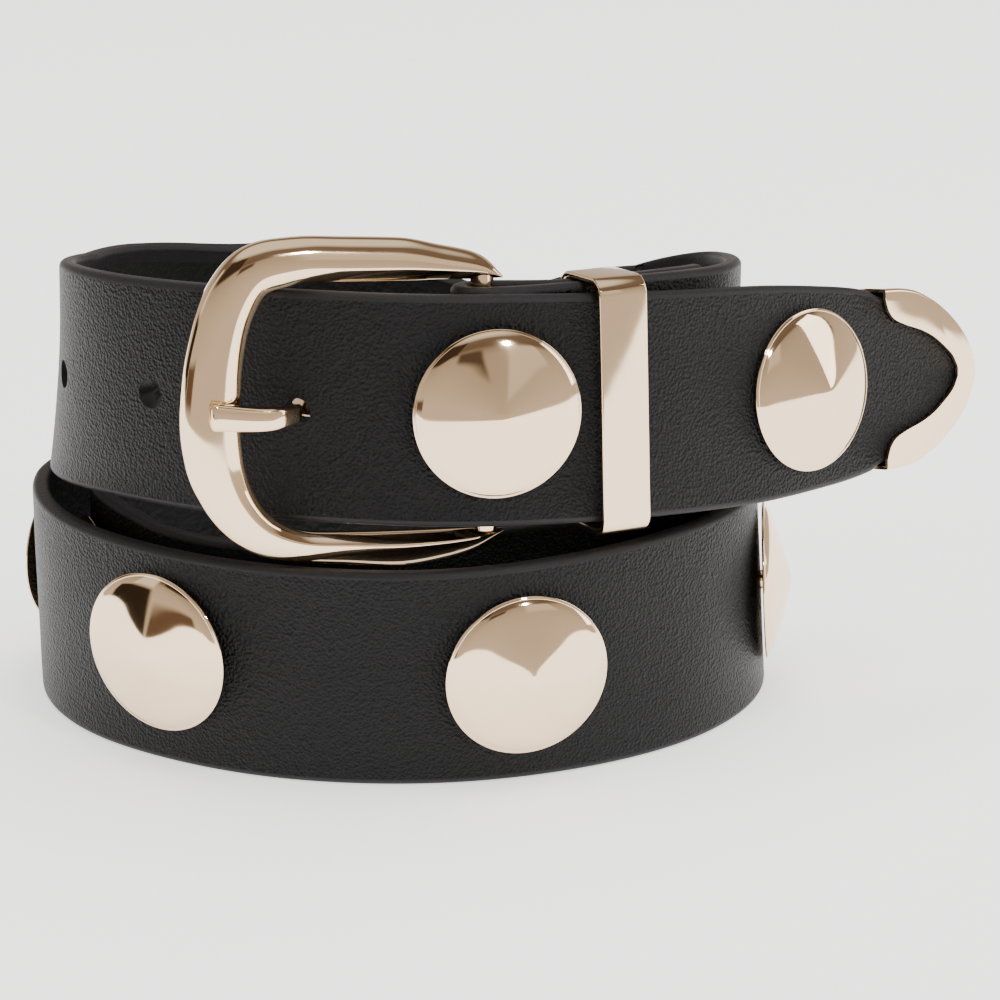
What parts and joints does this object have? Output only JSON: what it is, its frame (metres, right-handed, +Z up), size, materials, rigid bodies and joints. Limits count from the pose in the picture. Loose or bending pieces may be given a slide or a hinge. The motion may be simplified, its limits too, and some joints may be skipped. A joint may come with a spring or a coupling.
{
  "type": "studded belt",
  "caption": "Leather belt with round domed studs, fastened by its horseshoe buckle, coiled and standing on its edge, with a metal keeper and a pointed metal tip.",
  "frame": {"origin": "on the floor, under the middle of the belt's bounding box", "axes": "+Z up, the buckle's face towards -Y, the metal tip pointing towards +X"},
  "size_m": [0.17, 0.1128, 0.0913],
  "materials": {
    "leather": "fine pebble grain, satin",
    "gold_metal": "mirror polish, light champagne gold"
  },
  "bodies": {
    "root": {"strap": "leather", "buckle_frame": "gold_metal", "prong": "gold_metal", "keeper": "gold_metal", "tip_cap": "gold_metal", "stud_01": "gold_metal", "stud_02": "gold_metal", "stud_03": "gold_metal", "stud_04": "gold_metal", "stud_05": "gold_metal", "stud_06": "gold_metal", "stud_07": "gold_metal", "stud_08": "gold_metal", "stud_09": "gold_metal", "stud_10": "gold_metal", "stud_11": "gold_metal", "stud_12": "gold_metal", "stud_13": "gold_metal", "stud_14": "gold_metal", "stud_15": "gold_metal"}
  },
  "joints": []
}
